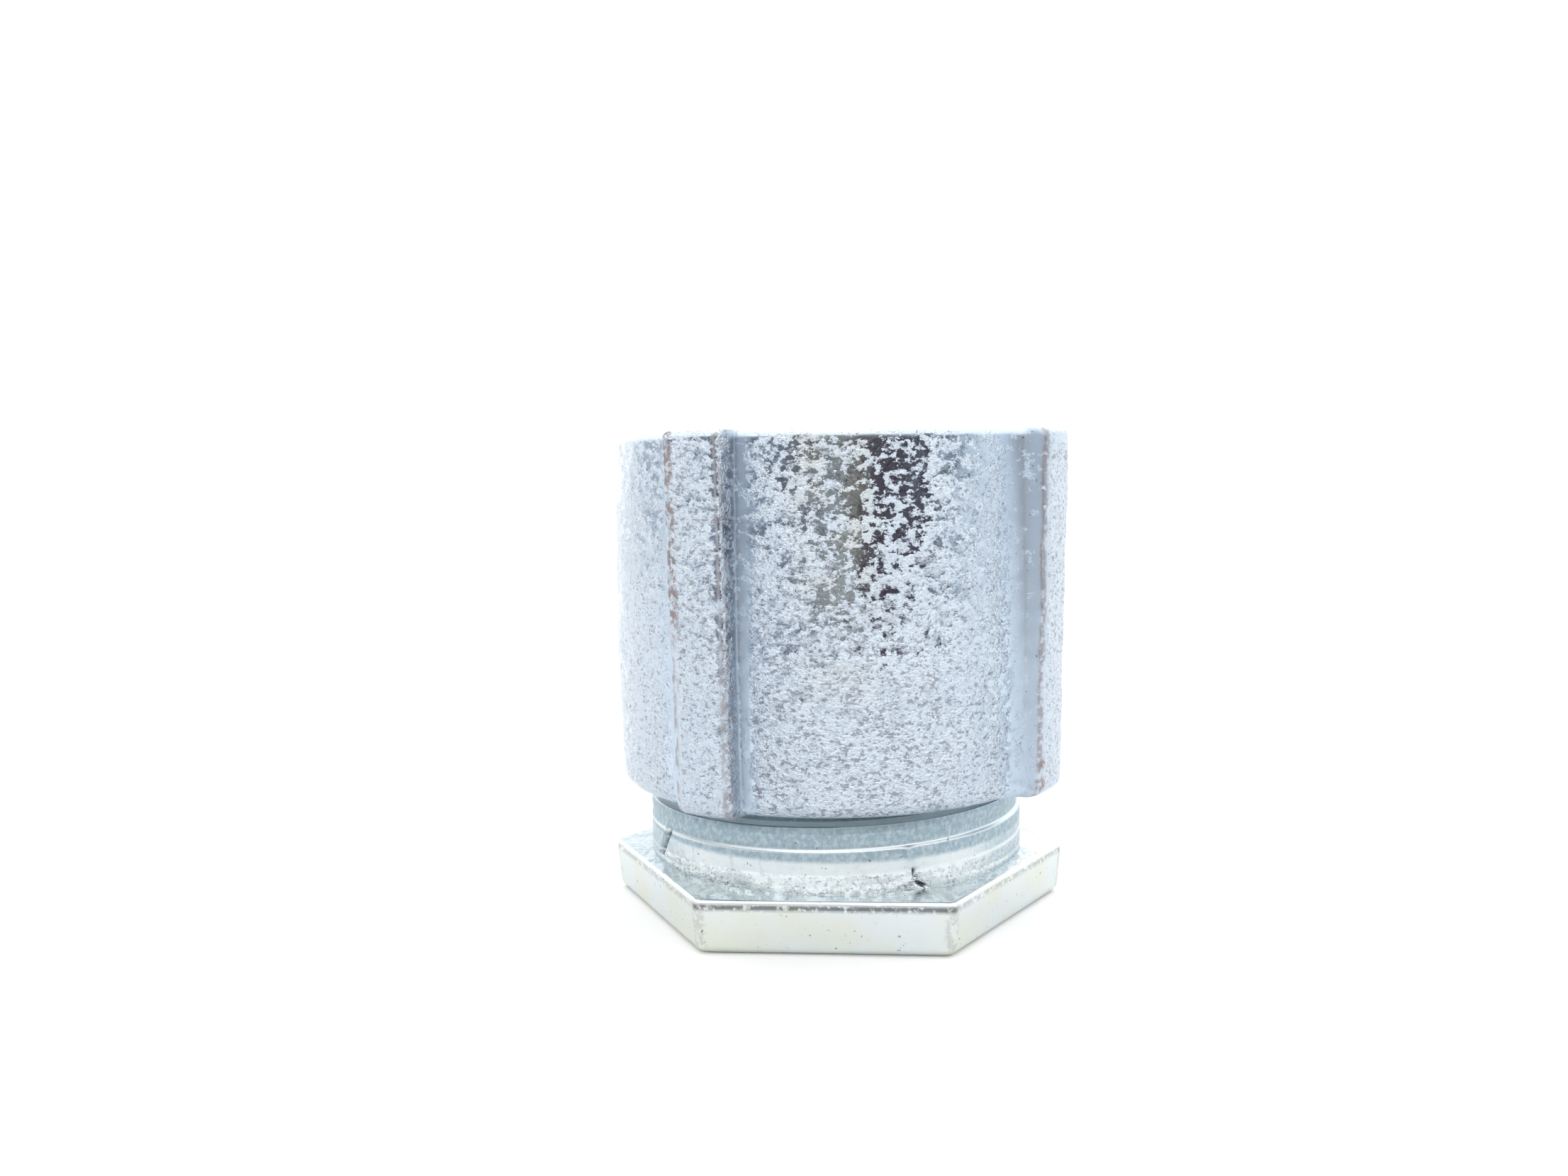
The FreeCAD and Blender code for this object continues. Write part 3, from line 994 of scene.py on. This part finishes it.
def zinc_bump(n, relief, grain, mask, grit, pits):
    """The fine relief: rough grains that stand proud of the ground, and pits."""
    height = n.math("MULTIPLY", mask, n.math("ADD", n.math("MULTIPLY", grit, 1.8), 0.25))
    height = n.math("ADD", height, n.math("MULTIPLY", grit, 0.15))
    height = n.math("SUBTRACT", height, n.math("MULTIPLY", pits, 0.5))
    bump = n.tree.nodes.new("ShaderNodeBump")
    bump.inputs["Distance"].default_value = relief
    bump.inputs["Strength"].default_value = 1.0
    n.put(bump, "Height", n.math("MULTIPLY", height, n.math("ADD", grain, 0.25)))
    return bump.outputs[0]


def zinc_roughness(n, grain, mask, worn):
    """Sharpest between the grains of the sandiest places, duller on grains, worn places and film."""
    roughness = n.math("ADD", n.mapped(grain, 0.20, 0.45, 0.34, 0.13), n.math("MULTIPLY", mask, 0.12))
    roughness = n.math("ADD", roughness, n.math("MULTIPLY", worn, 0.20))
    return n.math("ADD", roughness, n.math("MULTIPLY", n.attribute("film"), 0.14))


def zinc(name, look):
    """Bright zinc on a sand casting: a smooth, mirror-like ground with clusters of rough light grains.

    The vertex attributes say where the clusters are, and how grainy, tinted, worn and dirty each place is;
    they also carry painted shade, a painted highlight and painted reflections.
    """
    material = bpy.data.materials.new(name)
    n = Nodes(material)
    place = shifted_place(n, look.shift)
    grain = n.attribute("grain")
    sandy = n.mapped(grain, 0.22, 0.45)
    mask = cluster_mask(n, place)
    grit = n.math("SUBTRACT", n.noise(place, GRIT_SIZE, 3.0, 1.35, 0.62), 0.5)
    pits = pit_mask(n, place, grain, sandy)
    recess_shade = recess_shade_mask(n, place, grit, pits, sandy)
    # the brown attribute: worn places and a painted dark reflection beside the first lug
    broken = n.mapped(n.noise(place, BROWN_BREAKUP_SIZE, 5.0, 1.0, 0.7), 0.42, 0.58)
    worn = n.math("MULTIPLY", n.attribute("brown"), broken)
    shader = n.add(
        "ShaderNodeBsdfPrincipled",
        Base_Color=zinc_colour(n, place, look, mask, recess_shade, worn),
        Roughness=zinc_roughness(n, grain, mask, worn),
        Metallic=n.mapped(worn, 0.3, 1.0, 1.0, 0.6),
        Normal=zinc_bump(n, look.relief, grain, mask, grit, pits),
    )
    output = n.tree.nodes.new("ShaderNodeOutputMaterial")
    n.put(output, "Surface", shader.outputs[0])
    return material


def body_zinc():
    """Bright, with a yellow-green tint in places and a blue-grey film on the thread whose dark colour is
    painted shade under the ring.
    """
    look = Look(
        bright=(0.71, 0.76, 0.77, 1),
        grain_colour=(0.72, 0.76, 0.76, 1),
        tint=(0.72, 0.74, 0.64, 1),
        # painted shade: the dark blue-grey of the neck under the ring
        film=(0.27, 0.37, 0.43, 1),
        relief=0.08 * MM,
        shift=(0.3, 0, 0),
    )
    return zinc("body_zinc", look)


def ring_zinc():
    """Bluish, on the roughest casting."""
    look = Look(
        bright=(0.49, 0.56, 0.64, 1),
        grain_colour=(0.58, 0.65, 0.73, 1),
        tint=(0.58, 0.60, 0.57, 1),
        film=(0.48, 0.58, 0.69, 1),
        relief=0.16 * MM,
        shift=(0, 0.2, 0),
    )
    return zinc("ring_zinc", look)


def gland_zinc():
    """Between the other two in colour, on a turned and so smoother surface."""
    look = Look(
        bright=(0.54, 0.60, 0.66, 1),
        grain_colour=(0.57, 0.60, 0.62, 1),
        tint=(0.58, 0.60, 0.56, 1),
        film=(0.45, 0.54, 0.62, 1),
        relief=0.04 * MM,
        shift=(0, 0, 0.4),
    )
    return zinc("gland_zinc", look)


def floor_material():
    """Matt white paper."""
    material = bpy.data.materials.new("white_paper")
    n = Nodes(material)
    shader = n.add(
        "ShaderNodeBsdfPrincipled",
        Base_Color=(0.93, 0.93, 0.93, 1),
        Roughness=0.9,
        Specular_IOR_Level=0.0,
    )
    output = n.tree.nodes.new("ShaderNodeOutputMaterial")
    n.put(output, "Surface", shader.outputs[0])
    return material


# ---------------------------------------------------------------------------------------------
# Studio
# ---------------------------------------------------------------------------------------------

# Colour of the surroundings against the angle round the object, as the metal sees them
SURROUNDINGS = [
    (-180, (1.50, 1.50, 1.50)),
    (-145, (1.75, 1.72, 1.68)),
    (-126, (1.62, 1.62, 1.60)),
    (-110, (0.66, 0.70, 0.75)),
    (-95, (0.72, 0.80, 0.86)),
    (-80, (0.16, 0.13, 0.11)),
    (-66, (0.62, 0.63, 0.64)),
    (-50, (0.68, 0.76, 0.85)),
    (-34, (0.52, 0.58, 0.66)),
    (-18, (0.32, 0.33, 0.38)),
    (-4, (0.48, 0.48, 0.48)),
    (12, (0.60, 0.60, 0.53)),
    (19, (0.105, 0.07, 0.09)),
    (48, (0.12, 0.095, 0.12)),
    (60, (0.42, 0.46, 0.52)),
    (72, (0.85, 0.93, 1.00)),
    (110, (1.35, 1.43, 1.48)),
    (150, (1.40, 1.45, 1.50)),
    (180, (1.50, 1.50, 1.50)),
]
OVERHEAD_COLOUR = (1.85, 1.85, 1.85, 1)
DIM_FRONT_COLOUR = (0.05, 0.045, 0.055, 1)
PAPER_LIGHT = (1.3, 1.3, 1.3, 1)

PAPER_REACH = 6.0
PAPER_FRONT = 0.145

SOFTBOX_PLACE = (0.05, 0.10, 0.60)
SOFTBOX_SIZE = 0.7
SOFTBOX_POWER = 1.2
SOFTBOX_AIM = (0, 0, 0.02)

CAMERA_PLACE = (7.07 * MM, -125.1 * MM, 39.95 * MM)
CAMERA_LENS = 29.75
CAMERA_HEADING = math.radians(5.36)
CAMERA_DOWN = math.radians(4.62)
CAMERA_ROLL = math.radians(-1.01)


def surroundings(n, parts):
    """The tent's walls, whose colour depends on the direction round the object."""
    turn = n.math("ARCTAN2", parts.outputs["X"], n.math("MULTIPLY", parts.outputs["Y"], -1.0))
    share = n.math("ADD", n.math("MULTIPLY", turn, 0.5 / math.pi), 0.5)
    ramp = n.tree.nodes.new("ShaderNodeValToRGB")
    stops = ramp.color_ramp.elements
    while len(stops) < len(SURROUNDINGS):
        stops.new(0.5)
    for stop, (angle, colour) in zip(stops, SURROUNDINGS):
        stop.position = (angle + 180) / 360
        stop.color = (*colour, 1)
    n.put(ramp, "Fac", share)
    return ramp.outputs["Color"]


def make_world():
    """White to the camera and to the paper. The metal sees a light tent, open and dim in front."""
    world = bpy.data.worlds.new("tent")
    bpy.context.scene.world = world
    n = Nodes(world)
    direction = n.tree.nodes.new("ShaderNodeTexCoord").outputs["Generated"]
    parts = n.tree.nodes.new("ShaderNodeSeparateXYZ")
    n.put(parts, 0, direction)
    height = parts.outputs["Z"]
    low_band = n.math("MULTIPLY", n.mapped(height, 0.02, 0.09), n.mapped(height, 0.34, 0.22))
    dim = n.math("MULTIPLY", low_band, n.mapped(parts.outputs["Y"], 0.0, -0.5, 0.0, 0.6))
    walls = n.mixed(dim, surroundings(n, parts), DIM_FRONT_COLOUR)
    walls = n.mixed(n.mapped(height, 0.24, 0.38), walls, OVERHEAD_COLOUR)
    reflected = n.tree.nodes.new("ShaderNodeLightPath").outputs["Is Glossy Ray"]
    background = n.tree.nodes.new("ShaderNodeBackground")
    n.put(background, "Color", n.mixed(reflected, PAPER_LIGHT, walls))
    output = n.tree.nodes.new("ShaderNodeOutputWorld")
    n.put(output, "Surface", background.outputs[0])


def make_floor():
    """A sheet of white paper that ends behind the camera."""
    mesh = bpy.data.meshes.new("floor")
    reach, front = PAPER_REACH, -PAPER_FRONT
    corners = [(-reach, front, 0), (reach, front, 0), (reach, reach, 0), (-reach, reach, 0)]
    mesh.from_pydata(corners, [], [(0, 1, 2, 3)])
    floor = bpy.data.objects.new("floor", mesh)
    floor.data.materials.append(floor_material())
    bpy.context.scene.collection.objects.link(floor)


def make_softbox():
    """A large soft light overhead, which faces the object."""
    light = bpy.data.lights.new("overhead", "AREA")
    light.shape = "DISK"
    light.size = SOFTBOX_SIZE
    light.energy = SOFTBOX_POWER
    lamp = bpy.data.objects.new("overhead", light)
    lamp.location = SOFTBOX_PLACE
    direction = Vector(SOFTBOX_AIM) - Vector(SOFTBOX_PLACE)
    lamp.rotation_euler = direction.to_track_quat("-Z", "Y").to_euler()
    bpy.context.scene.collection.objects.link(lamp)


def make_camera():
    """Close to the object, just below the height of the ring's rim, looking slightly down."""
    camera = bpy.data.cameras.new("camera")
    camera.sensor_width = 36.0
    camera.lens = CAMERA_LENS
    camera.clip_start = 0.005
    camera.clip_end = 10
    holder = bpy.data.objects.new("camera", camera)
    turn = (
        Matrix.Rotation(CAMERA_HEADING, 4, "Z")
        @ Matrix.Rotation(math.radians(90) - CAMERA_DOWN, 4, "X")
        @ Matrix.Rotation(CAMERA_ROLL, 4, "Z")
    )
    holder.matrix_world = Matrix.Translation(CAMERA_PLACE) @ turn
    bpy.context.scene.collection.objects.link(holder)
    bpy.context.scene.camera = holder


def make_studio():
    """World, floor, light, camera and a plain view transform."""
    make_world()
    make_floor()
    make_softbox()
    make_camera()
    view = bpy.context.scene.view_settings
    view.view_transform = "Standard"
    view.look = "None"
    view.exposure = 0.0


# ---------------------------------------------------------------------------------------------
# Assembly
# ---------------------------------------------------------------------------------------------

def finish_piece(piece, material, body, node):
    """Gives a piece its material and the body it moves with, and hides the CAD node it stands in for."""
    piece.data.materials.append(material)
    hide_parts(node)
    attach(piece, body)


make_studio()
finish_piece(make_body(), body_zinc(), "hub", "threaded_body")
finish_piece(make_ring(), ring_zinc(), "ring", "coupling_ring")
finish_piece(make_gland(), gland_zinc(), "gland", "gland")
